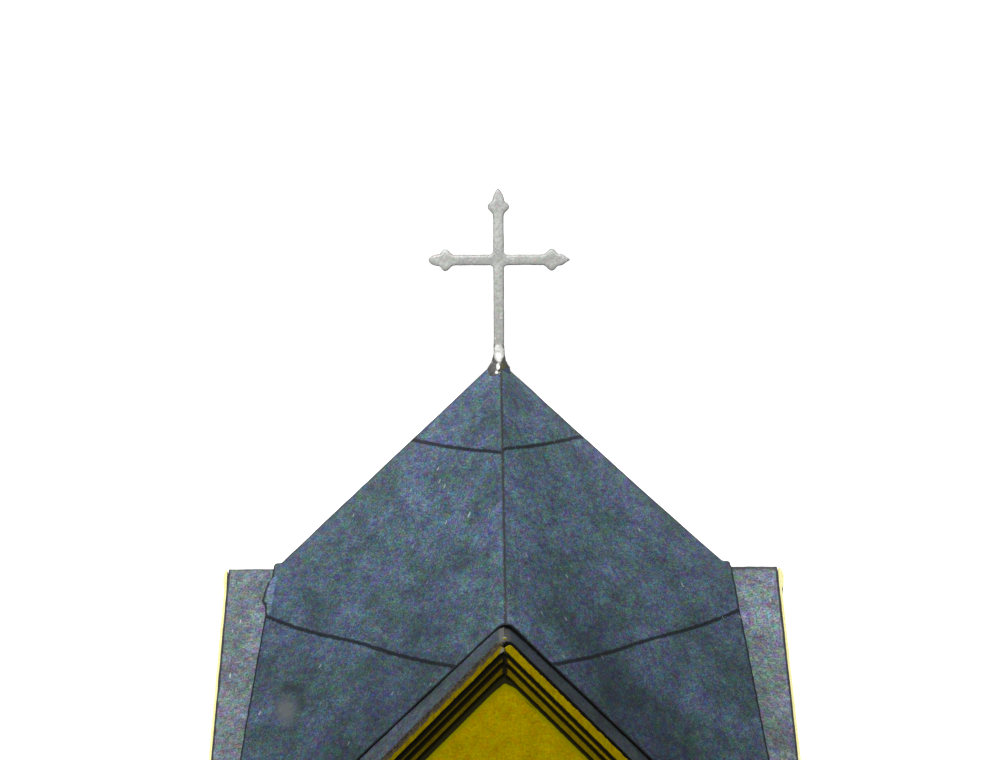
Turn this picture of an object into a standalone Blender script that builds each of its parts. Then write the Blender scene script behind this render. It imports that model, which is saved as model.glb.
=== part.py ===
# Head of a card model church tower: a pyramid roof turned 45 degrees over four gables,
# with a short projecting hood and a layered raking cornice on each gable, and a budded
# cross glued into the apex. The front gable faces -Y, Z is up, and the origin is on the
# floor under the apex. The model stands on the lower edges of its four card walls.

import math

import bmesh
import bpy
from mathutils import Matrix, Vector

MM = 0.001  # every size below is in millimetres

# Driving dimensions
CARD = 0.24  # thickness of every sheet of card
GAP = 0.03  # glue line between pieces that touch
ROOF_REACH = 15.0  # axis to the point where a roof fold meets its gable peak
GABLE_REACH = 18.1  # axis to the outer face of a gable
FOLD_FALL = 0.917  # drop of a roof fold for each millimetre away from the axis
HOOD_FALL = 1.014  # drop of a hood for each millimetre to the side of its ridge
WALL_BELOW_EAVES = 3.0  # plain wall under the lowest corner of the hoods

# Depths below a hood's outer face, square to its slope
FASCIA_TOP = 0.20  # the hood's raw edge shows above the fascia
FASCIA_FOOT = 0.68
MIDDLE_FOOT = 1.08
INNER_FOOT = 1.55

CROSS_CENTRE = 6.45  # apex to the middle of its arms
ARM_REACH = 4.60  # middle to the tip of an arm
BAR_HALF = 0.34  # half the width of its bars
CROSS_THICK = 0.30
CROSS_FOOT = 1.10  # length of shaft pushed in below the apex
FILLET = 0.22  # radius of the inner corners of the cross
BUD_CENTRE = 3.52  # middle of the cross to the middle of a bud
BUD_HALF = 0.70  # half the width over the two side lobes of a bud
LOBE_RADIUS = 0.34
END_LOBE_HALF = 0.39  # half the width of the end lobe
APEX_HOLE = 0.75  # corner reach of the square hole that the shaft goes through

GLUE_PROFILE = (  # radius and height of the glue fillet, from the shaft down to the roof
    (0.42, 0.55),
    (0.47, 0.20),
    (0.62, -0.25),
    (0.85, -0.75),
    (1.05, -1.30),
)
GLUE_SEGMENTS = 24

# Derived sizes
BOUNDARY_LEAN = HOOD_FALL / FOLD_FALL - 1.0  # how far the roof's edge leans out per millimetre
RIDGE_DROP = FOLD_FALL * ROOF_REACH  # apex down to the hood ridges
EAVES_DROP = RIDGE_DROP + HOOD_FALL * GABLE_REACH  # apex down to the corners of the hoods
ROOF_SLANT = math.sqrt(1.0 + 2.0 * FOLD_FALL**2)  # level drop for one unit square to a facet
HOOD_SLANT = math.sqrt(1.0 + HOOD_FALL**2)  # the same for a hood slope
STRIP_FOOT = EAVES_DROP + CARD * HOOD_SLANT  # apex down to the level feet of the cornice
APEX_HEIGHT = EAVES_DROP + WALL_BELOW_EAVES
LAYER = CARD + GAP
WALL_FACE = GABLE_REACH - 3.0 * LAYER  # axis to the outer face of a gable wall
BLOCK = 120.0  # side of the blank that every sheet is cut from
SIDES = ("front", "right", "back", "left")


def clear_scene():
    for old in list(bpy.data.objects):
        bpy.data.objects.remove(old, do_unlink=True)


def make_material(name, colour, roughness, metallic=0.0):
    material = bpy.data.materials.new(name)
    material.use_nodes = True
    material.diffuse_color = colour
    shader = material.node_tree.nodes["Principled BSDF"]
    shader.inputs["Base Color"].default_value = colour
    shader.inputs["Roughness"].default_value = roughness
    shader.inputs["Metallic"].default_value = metallic
    return material


def add_object(name, bm, material, turns=0):
    """Turns the shape by quarter turns about the axis, lifts it to its height and adds it."""
    turn = Matrix.Rotation(turns * math.pi / 2.0, 4, "Z")
    lift = Matrix.Translation((0.0, 0.0, APEX_HEIGHT))
    bmesh.ops.transform(bm, matrix=Matrix.Scale(MM, 4) @ lift @ turn, verts=bm.verts[:])
    bmesh.ops.recalc_face_normals(bm, faces=bm.faces[:])
    mesh = bpy.data.meshes.new(name)
    bm.to_mesh(mesh)
    bm.free()
    mesh.materials.append(material)
    obj = bpy.data.objects.new(name, mesh)
    bpy.context.scene.collection.objects.link(obj)
    return obj


def cut_blank(planes):
    """A blank cut by planes (normal, reach): what stays has normal . point <= reach."""
    bm = bmesh.new()
    bmesh.ops.create_cube(bm, size=BLOCK)
    for normal, reach in planes:
        direction = Vector(normal)
        reach_point = direction * (reach / direction.length_squared)
        everything = bm.verts[:] + bm.edges[:] + bm.faces[:]
        cut = bmesh.ops.bisect_plane(
            bm,
            geom=everything,
            dist=1e-5,
            plane_co=reach_point,
            plane_no=direction,
            clear_outer=True,
        )
        rim = [item for item in cut["geom_cut"] if isinstance(item, bmesh.types.BMEdge)]
        if rim:
            bmesh.ops.contextual_create(bm, geom=rim)
    bmesh.ops.remove_doubles(bm, verts=bm.verts[:], dist=1e-4)
    return bm


def roof_facet():
    """One of the four sheets of the main roof: the one between the front and right gables."""
    slope = (FOLD_FALL, -FOLD_FALL, 1.0)
    underside = (-FOLD_FALL, FOLD_FALL, -1.0)
    return cut_blank(
        (
            (slope, 0.0),
            (underside, CARD * ROOF_SLANT),
            ((-1.0, 0.0, 0.0), -GAP / 2.0),
            ((0.0, 1.0, 0.0), -GAP / 2.0),
            ((-BOUNDARY_LEAN, -1.0, 0.0), ROOF_REACH),
            ((1.0, BOUNDARY_LEAN, 0.0), ROOF_REACH),
            ((-1.0, 1.0, 0.0), -APEX_HOLE),
        )
    )


def hood_slope(hand):
    """A slope of the front hood, on the side of +X (hand 1) or -X (hand -1)."""
    outer_end = GABLE_REACH - LAYER
    return cut_blank(
        (
            ((hand * HOOD_FALL, 0.0, 1.0), -RIDGE_DROP),
            ((-hand * HOOD_FALL, 0.0, -1.0), RIDGE_DROP + CARD * HOOD_SLANT),
            ((-hand, 0.0, 0.0), -GAP / 2.0),
            ((hand * BOUNDARY_LEAN, 1.0, 0.0), -ROOF_REACH - GAP),
            ((0.0, -1.0, 0.0), outer_end),
            ((hand, 1.0, 0.0), -GAP),
        )
    )


def cornice_strip(hand, layer, top_depth, foot_depth):
    """A straight strip of card under the front hood, mitred at the peak and at the corner.

    layer counts the sheets inwards from the gable's outer face."""
    outer_face = GABLE_REACH - layer * LAYER
    return cut_blank(
        (
            ((hand * HOOD_FALL, 0.0, 1.0), -RIDGE_DROP - top_depth * HOOD_SLANT),
            ((-hand * HOOD_FALL, 0.0, -1.0), RIDGE_DROP + foot_depth * HOOD_SLANT),
            ((0.0, -1.0, 0.0), outer_face),
            ((0.0, 1.0, 0.0), -(outer_face - CARD)),
            ((-hand, 0.0, 0.0), -GAP / 2.0),
            ((hand, 1.0, 0.0), -GAP),
            ((0.0, 0.0, -1.0), STRIP_FOOT),
        )
    )


def gable_wall():
    """The front wall: a gable over a short plain stretch of tower, mitred at its corners."""
    top = -RIDGE_DROP - LAYER * HOOD_SLANT
    return cut_blank(
        (
            ((HOOD_FALL, 0.0, 1.0), top),
            ((-HOOD_FALL, 0.0, 1.0), top),
            ((0.0, -1.0, 0.0), WALL_FACE),
            ((0.0, 1.0, 0.0), -(WALL_FACE - CARD)),
            ((1.0, 1.0, 0.0), -GAP),
            ((-1.0, 1.0, 0.0), -GAP),
            ((0.0, 0.0, -1.0), APEX_HEIGHT),
        )
    )


def arc(centre, radius, start, end, steps):
    """Points of an arc from the angle start to the angle end, in degrees."""
    points = []
    for step in range(steps + 1):
        angle = math.radians(start + (end - start) * step / steps)
        points.append((centre[0] + radius * math.cos(angle), centre[1] + radius * math.sin(angle)))
    return points


def arm_edge():
    """The upper edge of an arm that runs along +x, from its root to the side of its tip."""
    lobe_offset = BUD_HALF - LOBE_RADIUS
    points = arc((BUD_CENTRE, lobe_offset), LOBE_RADIUS, 200, 20, 12)
    points.append((BUD_CENTRE + LOBE_RADIUS + 0.06, END_LOBE_HALF))
    points.append((ARM_REACH - 0.42, END_LOBE_HALF * 0.80))
    points.append((ARM_REACH - 0.22, END_LOBE_HALF * 0.38))
    points.append((ARM_REACH, 0.05))
    return points


def turned(points, quarters):
    """The points turned counterclockwise about the middle of the cross."""
    turn = Matrix.Rotation(quarters * math.pi / 2.0, 2)
    return [turn @ Vector(point) for point in points]


def cross_outline():
    """The outline around the middle of the arms, counterclockwise from the foot's right."""
    upper = arm_edge()
    arm = [(x, -y) for x, y in upper] + list(reversed(upper))
    corner = BAR_HALF + FILLET
    fillet = arc((corner, corner), FILLET, 270, 180, 6)
    foot = -(CROSS_CENTRE + CROSS_FOOT)
    outline = [Vector((BAR_HALF, foot))] + turned(fillet, -1)
    for quarters in (0, 1, 2):
        outline += turned(arm, quarters) + turned(fillet, quarters)
    outline.append(Vector((-BAR_HALF, foot)))
    return outline


def cross():
    bm = bmesh.new()
    rim = []
    for point in cross_outline():
        rim.append(bm.verts.new((point.x, -CROSS_THICK / 2.0, CROSS_CENTRE + point.y)))
    face = bm.faces.new(rim)
    sheet = bmesh.ops.extrude_face_region(bm, geom=[face])
    far_side = [item for item in sheet["geom"] if isinstance(item, bmesh.types.BMVert)]
    bmesh.ops.translate(bm, verts=far_side, vec=(0.0, CROSS_THICK, 0.0))
    bmesh.ops.remove_doubles(bm, verts=bm.verts[:], dist=1e-4)
    return bm


def glue_blank():
    """The glue fillet as a turned solid, before the roof and the shaft are taken out of it."""
    bm = bmesh.new()
    rings = []
    for radius, height in GLUE_PROFILE:
        ring = []
        for segment in range(GLUE_SEGMENTS):
            angle = 2.0 * math.pi * segment / GLUE_SEGMENTS
            ring.append(bm.verts.new((radius * math.cos(angle), radius * math.sin(angle), height)))
        rings.append(ring)
    for upper, lower in zip(rings, rings[1:]):
        for segment in range(GLUE_SEGMENTS):
            after = (segment + 1) % GLUE_SEGMENTS
            bm.faces.new((upper[segment], lower[segment], lower[after], upper[after]))
    bm.faces.new(rings[0])
    bm.faces.new(list(reversed(rings[-1])))
    return bm


def roof_cutter():
    """The roof's outer pyramid with the glue gap added, down to below the glue."""
    lift = GAP * ROOF_SLANT
    planes = [((0.0, 0.0, -1.0), 3.0)]
    for x_sign in (1.0, -1.0):
        for y_sign in (1.0, -1.0):
            planes.append(((x_sign * FOLD_FALL, y_sign * FOLD_FALL, 1.0), lift))
    return cut_blank(planes)


def shaft_cutter():
    half_width = BAR_HALF + GAP
    half_thick = CROSS_THICK / 2.0 + GAP
    return cut_blank(
        (
            ((1.0, 0.0, 0.0), half_width),
            ((-1.0, 0.0, 0.0), half_width),
            ((0.0, 1.0, 0.0), half_thick),
            ((0.0, -1.0, 0.0), half_thick),
            ((0.0, 0.0, 1.0), 3.0),
            ((0.0, 0.0, -1.0), 3.0),
        )
    )


def take_out(piece, cutter):
    """Cuts the cutter's shape out of the piece, and keeps the cutter out of the picture."""
    cutter.hide_render = True
    cutter.display_type = "WIRE"
    boolean = piece.modifiers.new("cut_" + cutter.name, "BOOLEAN")
    boolean.operation = "DIFFERENCE"
    boolean.object = cutter


def add_glue(material):
    glue = add_object("cross_glue", glue_blank(), material)
    take_out(glue, add_object("roof_cutter", roof_cutter(), material))
    take_out(glue, add_object("shaft_cutter", shaft_cutter(), material))


def add_gable(side, turns, slate, yellow):
    """The hood, the three layers of cornice and the wall of one side."""
    for hand, word in ((-1, "left"), (1, "right")):
        add_object(f"{side}_hood_{word}", hood_slope(hand), slate, turns)
        strips = (
            ("fascia", 0, FASCIA_TOP, FASCIA_FOOT),
            ("middle_strip", 1, LAYER, MIDDLE_FOOT),
            ("inner_strip", 2, LAYER, INNER_FOOT),
        )
        for strip, layer, top_depth, foot_depth in strips:
            shape = cornice_strip(hand, layer, top_depth, foot_depth)
            add_object(f"{side}_{strip}_{word}", shape, yellow, turns)
    add_object(f"{side}_gable_wall", gable_wall(), yellow, turns)


def main():
    clear_scene()
    slate = make_material("slate_print", (0.098, 0.138, 0.180, 1.0), 0.62)
    yellow = make_material("yellow_print", (0.400, 0.285, 0.006, 1.0), 0.70)
    silver = make_material("silver_paint", (0.520, 0.525, 0.510, 1.0), 0.50, 0.25)
    dried_glue = make_material("dried_glue", (0.075, 0.078, 0.072, 1.0), 0.25)
    for turns, side in enumerate(SIDES):
        following = SIDES[(turns + 1) % 4]
        add_object(f"roof_{side}_{following}", roof_facet(), slate, turns)
        add_gable(side, turns, slate, yellow)
    add_object("cross", cross(), silver)
    add_glue(dried_glue)


main()
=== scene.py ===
# Tower head of a printed card model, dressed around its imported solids: four roof sheets, hoods, layered
# cornices, gable walls, a painted cross and the glue that holds it. Shapes are worked out in millimetres
# above the floor, with the front gable towards -Y, and are written to their meshes in metres.

import math

import bpy
import numpy as np
from mathutils import Matrix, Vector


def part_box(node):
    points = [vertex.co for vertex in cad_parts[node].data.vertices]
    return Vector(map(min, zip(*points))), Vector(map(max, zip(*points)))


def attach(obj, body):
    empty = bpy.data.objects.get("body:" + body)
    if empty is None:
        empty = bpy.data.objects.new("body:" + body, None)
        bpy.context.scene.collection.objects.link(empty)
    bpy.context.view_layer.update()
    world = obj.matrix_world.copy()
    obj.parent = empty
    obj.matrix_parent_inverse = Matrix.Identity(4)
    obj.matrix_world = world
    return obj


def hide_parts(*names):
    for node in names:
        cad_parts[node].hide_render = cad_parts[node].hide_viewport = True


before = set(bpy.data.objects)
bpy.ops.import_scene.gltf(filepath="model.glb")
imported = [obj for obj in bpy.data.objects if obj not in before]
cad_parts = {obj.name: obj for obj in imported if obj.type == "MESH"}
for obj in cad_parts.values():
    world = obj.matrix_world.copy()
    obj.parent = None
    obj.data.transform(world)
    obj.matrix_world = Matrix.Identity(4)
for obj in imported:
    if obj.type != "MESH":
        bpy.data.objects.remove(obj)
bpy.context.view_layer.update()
print("packed solids:", len(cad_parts))

millimetre = 0.001
sideNames = ("front", "right", "back", "left")


def nodeBox(name):
    low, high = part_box(name)
    return np.array(low) / millimetre, np.array(high) / millimetre


def frontReach(name):
    return -nodeBox(name)[0][1]  # axis to the outermost face of a front piece


# Sizes that every piece is worked out from. Heights and reaches come from the solids.
tower = {
    "crossTop": 11.05,  # apex to the top of the cross
    "roofReach": 15.0,  # axis to a gable peak, along a fold
    "foldFall": 0.921,  # drop of a fold for each millimetre outwards
    "edgeLean": 0.1167,  # how far a sheet's lower edge leans out for each millimetre sideways
    "hoodFall": 1.014,  # drop of a hood for each millimetre sideways
    "card": 0.22,
    "gap": 0.004,  # half the slit between two pieces that meet
}
tower["apexHeight"] = nodeBox("cross")[1][2] - tower["crossTop"]
tower["ridgeHeight"] = nodeBox("front_hood_left")[1][2]
tower["hoodReach"] = frontReach("front_hood_left")
tower["stripFoot"] = nodeBox("front_fascia_left")[0][2]
tower["slant"] = math.hypot(1.0, tower["hoodFall"])  # level drop for one millimetre square to a hood
tower["cornerReach"] = tower["roofReach"] / (1.0 - tower["edgeLean"])


# Numpy helpers

def smoothStep(x):
    t = np.clip(x, 0.0, 1.0)
    return t * t * (3.0 - 2.0 * t)


def wander(points, size, seed, waves=18):
    # sum of sine waves with random headings and phases and lengths near size, about -1 to 1
    draws = np.random.default_rng(seed)
    heading = draws.normal(size=(waves, 3))
    heading /= np.linalg.norm(heading, axis=1, keepdims=True)
    rate = 2.0 * np.pi / (size * draws.uniform(0.7, 1.6, waves))
    phase = draws.uniform(0.0, 2.0 * np.pi, waves)
    return np.sin(points @ (heading * rate[:, None]).T + phase).sum(axis=-1) / math.sqrt(waves)


def ragged(distance, seed, size=0.5):
    # a cut edge's wander along its length, in two sizes of wave, about -1 to 1
    line = np.stack([distance, distance * 0.0, distance * 0.0], axis=-1)
    return 0.6 * wander(line, size, seed) + 0.4 * wander(line, size * 0.25, seed + 1)


def quarterTurned(points, quarters):
    # each quarter turn about the tower's axis takes (x, y) to (-y, x)
    x, y, z = points[..., 0], points[..., 1], points[..., 2]
    for _ in range(quarters % 4):
        x, y = -y, x
    return np.stack([x, y, z], axis=-1)


# Mesh building

def gridQuads(rows, columns, start=0):
    index = start + np.arange(rows * columns).reshape(rows, columns)
    corners = (index[:-1, :-1], index[1:, :-1], index[1:, 1:], index[:-1, 1:])
    return np.stack(corners, axis=-1).reshape(-1, 4)


def borderLoop(rows, columns):
    index = np.arange(rows * columns).reshape(rows, columns)
    return np.concatenate([index[0, :-1], index[:-1, -1], index[-1, :0:-1], index[:0:-1, 0]])


def writeMesh(name, points, quads, materials, faceMaterial, uv, marks):
    corners = points[quads]
    first = np.cross(corners[:, 1] - corners[:, 0], corners[:, 2] - corners[:, 0])
    second = np.cross(corners[:, 2] - corners[:, 0], corners[:, 3] - corners[:, 0])
    if np.einsum("ij,ij->", corners[:, 0], first + second) < 0.0:  # faces that point inwards
        quads = quads[:, ::-1]
    mesh = bpy.data.meshes.new(name)
    mesh.vertices.add(len(points))
    mesh.vertices.foreach_set("co", (points * millimetre).astype(np.float32).ravel())
    mesh.loops.add(quads.size)
    mesh.loops.foreach_set("vertex_index", quads.astype(np.int32).ravel())
    mesh.polygons.add(len(quads))
    mesh.polygons.foreach_set("loop_start", np.arange(0, quads.size, 4, dtype=np.int32))
    mesh.polygons.foreach_set("material_index", faceMaterial.astype(np.int32))
    mesh.update(calc_edges=True)
    layer = mesh.uv_layers.new(name="print")
    layer.data.foreach_set("uv", uv[quads.ravel()].astype(np.float32).ravel())
    for mark, values in marks.items():
        attribute = mesh.attributes.new(mark, "FLOAT", "POINT")
        attribute.data.foreach_set("value", values.astype(np.float32))
    for material in materials:
        mesh.materials.append(material)
    mesh.shade_smooth()
    mesh.set_sharp_from_angle(angle=math.radians(38.0))
    return mesh


def addPiece(name, mesh, slot, *nodes):
    piece = bpy.data.objects.new(name, mesh)
    bpy.context.scene.collection.objects.link(piece)
    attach(piece, "root")
    if nodes:
        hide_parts(*nodes)
    return piece


cutEdge = {
    "bulge": 0.014,  # how far fibres stand out of a cut edge
    "strips": (0.33, 0.67),  # where the strips of the edge lie between the two faces
}


def cardMesh(name, outer, inner, materials, uv, marks, seed):
    # Two grids of points are the sheet's faces. Strips round their border close it: each strip is a share
    # of the way from the outer border to the inner one, pushed outwards by a ragged amount.
    rows, columns = outer.shape[:2]
    count = rows * columns
    loop = borderLoop(rows, columns)
    nearRow = np.clip(loop // columns, 1, rows - 2)
    nearColumn = np.clip(loop % columns, 1, columns - 2)
    flatOuter = outer.reshape(-1, 3)
    flatInner = inner.reshape(-1, 3)
    away = flatOuter[loop] - outer[nearRow, nearColumn]
    away /= np.linalg.norm(away, axis=1, keepdims=True)
    points = [flatOuter, flatInner]
    source = [np.arange(count), np.arange(count)]
    rings = [loop]
    for number, share in enumerate(cutEdge["strips"]):
        ring = flatOuter[loop] * (1.0 - share) + flatInner[loop] * share
        stand = cutEdge["bulge"] * (0.5 + wander(ring, 0.16, seed + 7 * number))
        points.append(ring + away * stand[:, None])
        source.append(loop)
        rings.append(2 * count + number * len(loop) + np.arange(len(loop)))
    rings.append(count + loop)
    quads = [gridQuads(rows, columns), gridQuads(rows, columns, count)[:, ::-1]]
    faceMaterial = [np.zeros(len(quads[0])), np.ones(len(quads[1]))]
    for upper, lower in zip(rings, rings[1:]):
        strip = np.stack([upper, np.roll(upper, -1), np.roll(lower, -1), lower], axis=-1)
        quads.append(strip)
        faceMaterial.append(np.full(len(strip), 2))
    points = np.concatenate(points)
    points[:, 2] = np.maximum(points[:, 2], 0.0)
    source = np.concatenate(source)
    spread = {mark: values.ravel()[source] for mark, values in marks.items()}
    return writeMesh(
        name,
        points,
        np.concatenate(quads),
        materials,
        np.concatenate(faceMaterial),
        uv.reshape(-1, 2)[source],
        spread,
    )


def gridNormals(points, outward):
    # square to both grid directions, turned to the side that outward points to
    normal = np.cross(np.gradient(points, axis=0), np.gradient(points, axis=1))
    normal /= np.linalg.norm(normal, axis=-1, keepdims=True)
    facing = np.sign(np.sum(normal * outward, axis=-1, keepdims=True))
    return normal * facing


# Shader building

def newMaterial(name):
    material = bpy.data.materials.new(name)
    material.use_nodes = True
    return material, material.node_tree, material.node_tree.nodes["Principled BSDF"]


def join(tree, value, socket):
    if isinstance(value, bpy.types.NodeSocket):
        tree.links.new(value, socket)
    else:
        socket.default_value = value


def mathNode(tree, operation, first, second=0.0, clamp=False):
    node = tree.nodes.new("ShaderNodeMath")
    node.operation = operation
    node.use_clamp = clamp
    join(tree, first, node.inputs[0])
    join(tree, second, node.inputs[1])
    return node.outputs[0]


def mixNode(tree, share, first, second, blend="MIX"):
    node = tree.nodes.new("ShaderNodeMix")
    node.data_type = "RGBA"
    node.blend_type = blend
    join(tree, share, node.inputs["Factor"])
    join(tree, first, node.inputs[6])
    join(tree, second, node.inputs[7])
    return node.outputs[2]


def rampNode(tree, value, low, high, start=0.0, end=1.0):
    # smooth step from start to end as value goes from low to high
    node = tree.nodes.new("ShaderNodeMapRange")
    node.interpolation_type = "SMOOTHSTEP"
    join(tree, value, node.inputs["Value"])
    for label, number in (("From Min", low), ("From Max", high), ("To Min", start), ("To Max", end)):
        node.inputs[label].default_value = number
    return node.outputs["Result"]


def noiseNode(tree, vector, scale, detail=2.0, roughness=0.5):
    node = tree.nodes.new("ShaderNodeTexNoise")
    join(tree, vector, node.inputs["Vector"])
    node.inputs["Scale"].default_value = scale
    node.inputs["Detail"].default_value = detail
    node.inputs["Roughness"].default_value = roughness
    return node


def markNode(tree, name):
    node = tree.nodes.new("ShaderNodeAttribute")
    node.attribute_name = name
    return node.outputs["Fac"]


def printVector(tree, turn=0.0, stretch=(1.0, 1.0, 1.0), shift=(0.0, 0.0, 0.0)):
    # the sheet's own flat print, in millimetres
    source = tree.nodes.new("ShaderNodeUVMap")
    source.uv_map = "print"
    mapping = tree.nodes.new("ShaderNodeMapping")
    mapping.inputs["Rotation"].default_value = (0.0, 0.0, turn)
    mapping.inputs["Scale"].default_value = stretch
    mapping.inputs["Location"].default_value = shift
    tree.links.new(source.outputs["UV"], mapping.inputs["Vector"])
    return mapping.outputs["Vector"]


def speckled(tree, colour, vector, tints, grains):
    # multiplies the colour by coloured noise, each channel going its own way, and by grey noise
    for scale, strength in tints:
        noise = noiseNode(tree, vector, scale, 0.6, 0.5)
        gain = tree.nodes.new("ShaderNodeVectorMath")
        gain.operation = "MULTIPLY_ADD"
        tree.links.new(noise.outputs["Color"], gain.inputs[0])
        gain.inputs[1].default_value = (2.0 * strength,) * 3
        gain.inputs[2].default_value = (1.0 - strength,) * 3
        colour = mixNode(tree, 1.0, colour, gain.outputs[0], "MULTIPLY")
    for scale, strength in grains:
        noise = noiseNode(tree, vector, scale, 1.2, 0.6)
        swing = mathNode(tree, "MULTIPLY", noise.outputs[0], 2.0 * strength)
        gain = mathNode(tree, "ADD", swing, 1.0 - strength)
        colour = mixNode(tree, 1.0, colour, mathNode(tree, "MAXIMUM", gain, 0.05), "MULTIPLY")
    return colour


def flecks(tree, vector, scale, radius, share, sharpness=0.03):
    # small spots in some cells of a Voronoi pattern, each as strong as its cell's second random number
    cells = tree.nodes.new("ShaderNodeTexVoronoi")
    cells.inputs["Scale"].default_value = scale
    tree.links.new(vector, cells.inputs["Vector"])
    spot = rampNode(tree, cells.outputs["Distance"], radius, radius + sharpness, 1.0, 0.0)
    parts = tree.nodes.new("ShaderNodeSeparateColor")
    tree.links.new(cells.outputs["Color"], parts.inputs[0])
    chosen = mathNode(tree, "GREATER_THAN", parts.outputs[0], 1.0 - share)
    strength = mathNode(tree, "ADD", mathNode(tree, "MULTIPLY", parts.outputs[1], 0.75), 0.25)
    return mathNode(tree, "MULTIPLY", mathNode(tree, "MULTIPLY", spot, chosen), strength)


def stroke(tree, distance, width, jitter, vector, soft=0.04):
    # 1 on a drawn line, where distance is under width, with an edge that wanders by jitter
    noise = noiseNode(tree, vector, 5.0, 2.0)
    wobble = mathNode(tree, "MULTIPLY", mathNode(tree, "SUBTRACT", noise.outputs[0], 0.5), jitter)
    return rampNode(tree, mathNode(tree, "ADD", distance, wobble), width - soft, width + soft, 1.0, 0.0)


def addBump(tree, shader, height, strength, distance):
    bump = tree.nodes.new("ShaderNodeBump")
    bump.inputs["Strength"].default_value = strength
    bump.inputs["Distance"].default_value = distance
    tree.links.new(height, bump.inputs["Height"])
    tree.links.new(bump.outputs["Normal"], shader.inputs["Normal"])


slatePrint = {
    "blue": (0.142, 0.186, 0.258, 1.0),
    "green": (0.104, 0.152, 0.172, 1.0),
    "line": (0.012, 0.011, 0.013, 1.0),
    "fold": (0.052, 0.050, 0.048, 1.0),
    "beige": (0.36, 0.34, 0.27, 1.0),
    # fleck is the colour of the painted glints on the print's fibres
    "fleck": (0.80, 0.83, 0.80, 1.0),
    "worn": (0.21, 0.205, 0.20, 1.0),
    "smudge": (0.22, 0.225, 0.225, 1.0),
    "smear": (0.046, 0.056, 0.058, 1.0),
    "ring": (5.16, 16.70),  # drop from the apex of the two printed rings
    "ringWidth": 0.100,
    "foldWidth": 0.125,
    "cutWidth": 0.10,
    "tints": ((2.7, 0.62),),
    "grains": ((1.1, 0.28), (4.0, 0.50), (8.5, 1.25)),
    # fibres lists the strands that carry painted glints
    "fibres": ((0.5, 1.7), (1.35, 2.1), (-0.75, 1.9)),  # heading and number to the millimetre
}


def slateMaterial(name, glints, tint):
    # glints is the share of fibres that get a painted glint, tint multiplies the print and on the hoods'
    # copies stands for painted sheen or shade
    material, tree, shader = newMaterial(name)
    flat = printVector(tree)
    patches = noiseNode(tree, flat, 0.30, 3.0, 0.55)
    tone = rampNode(tree, patches.outputs[0], 0.36, 0.64)
    colour = mixNode(tree, tone, slatePrint["green"], slatePrint["blue"])
    clouds = noiseNode(tree, printVector(tree, shift=(31.0, 7.0, 0.0)), 0.55, 2.0)
    colour = mixNode(tree, 1.0, colour, rampNode(tree, clouds.outputs[0], 0.3, 0.7, 0.84, 1.12), "MULTIPLY")
    colour = mixNode(tree, 1.0, colour, tint + (1.0,), "MULTIPLY")
    colour = speckled(tree, colour, flat, slatePrint["tints"], slatePrint["grains"])
    drop = markNode(tree, "ringDrop")
    rings = 0.0
    for ring in slatePrint["ring"]:
        away = mathNode(tree, "ABSOLUTE", mathNode(tree, "SUBTRACT", drop, ring))
        inked = stroke(tree, away, slatePrint["ringWidth"], 0.16, flat, 0.04)
        rings = mathNode(tree, "MAXIMUM", rings, inked)
    cut = stroke(tree, markNode(tree, "cutDistance"), slatePrint["cutWidth"], 0.10, flat)
    line = mathNode(tree, "MAXIMUM", rings, cut)
    colour = mixNode(tree, mathNode(tree, "MULTIPLY", line, 0.86), colour, slatePrint["line"])
    fold = stroke(tree, markNode(tree, "foldDistance"), slatePrint["foldWidth"], 0.20, flat, 0.07)
    broken = flecks(tree, printVector(tree, shift=(3.0, 9.0, 0.0)), 4.5, 0.22, 0.5, 0.12)
    paled = mathNode(tree, "MULTIPLY", broken, 0.6)
    foldColour = mixNode(tree, paled, slatePrint["fold"], slatePrint["beige"])
    colour = mixNode(tree, mathNode(tree, "MULTIPLY", fold, 0.80), colour, foldColour)
    # painted glints: small round spots and short strands in three headings
    bright = flecks(tree, flat, 4.2, 0.11, 0.8 * glints)
    for heading, number in slatePrint["fibres"]:
        strands = printVector(tree, heading, (1.0, 0.30, 1.0), (5.0 * heading, 3.0, 0.0))
        bright = mathNode(tree, "ADD", bright, flecks(tree, strands, number, 0.085, glints))
    colour = mixNode(tree, mathNode(tree, "MULTIPLY", bright, 0.62, True), colour, slatePrint["fleck"])
    chafe = mathNode(tree, "MULTIPLY", noiseNode(tree, flat, 3.0).outputs[0], 0.6)
    worn = rampNode(tree, mathNode(tree, "ADD", markNode(tree, "wear"), chafe), 0.62, 0.95)
    colour = mixNode(tree, worn, colour, slatePrint["worn"])
    for mark, share in (("smear", 0.72), ("smudge", 0.85)):
        spot = mathNode(tree, "MULTIPLY", markNode(tree, mark), share)
        colour = mixNode(tree, spot, colour, slatePrint[mark])
    colour = mixNode(tree, 1.0, colour, markNode(tree, "shade"), "MULTIPLY")
    tree.links.new(colour, shader.inputs["Base Color"])
    shader.inputs["Roughness"].default_value = 0.55
    shader.inputs["Specular IOR Level"].default_value = 0.4
    grain = noiseNode(tree, flat, 6.0, 3.0, 0.65)
    groove = mathNode(tree, "MULTIPLY", mathNode(tree, "MAXIMUM", line, fold), 0.6)
    addBump(tree, shader, mathNode(tree, "SUBTRACT", grain.outputs[0], groove), 0.5, 0.00004)
    return material


yellowPrint = {
    "yellow": (0.475, 0.372, 0.006, 1.0),
    "ochre": (0.42, 0.25, 0.004, 1.0),
    "olive": (0.36, 0.31, 0.006, 1.0),
    "fringe": (0.30, 0.30, 0.006, 1.0),
    # black draws the printed lines and the painted shadow under each strip
    "black": (0.011, 0.011, 0.009, 1.0),
    "worn": (0.15, 0.135, 0.12, 1.0),
    "bare": (0.46, 0.46, 0.42, 1.0),
    "pencil": ((2.11, 1.05, 1.85), (2.17, 1.15, 1.60)),  # depth under the hood, start and end across
}


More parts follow.
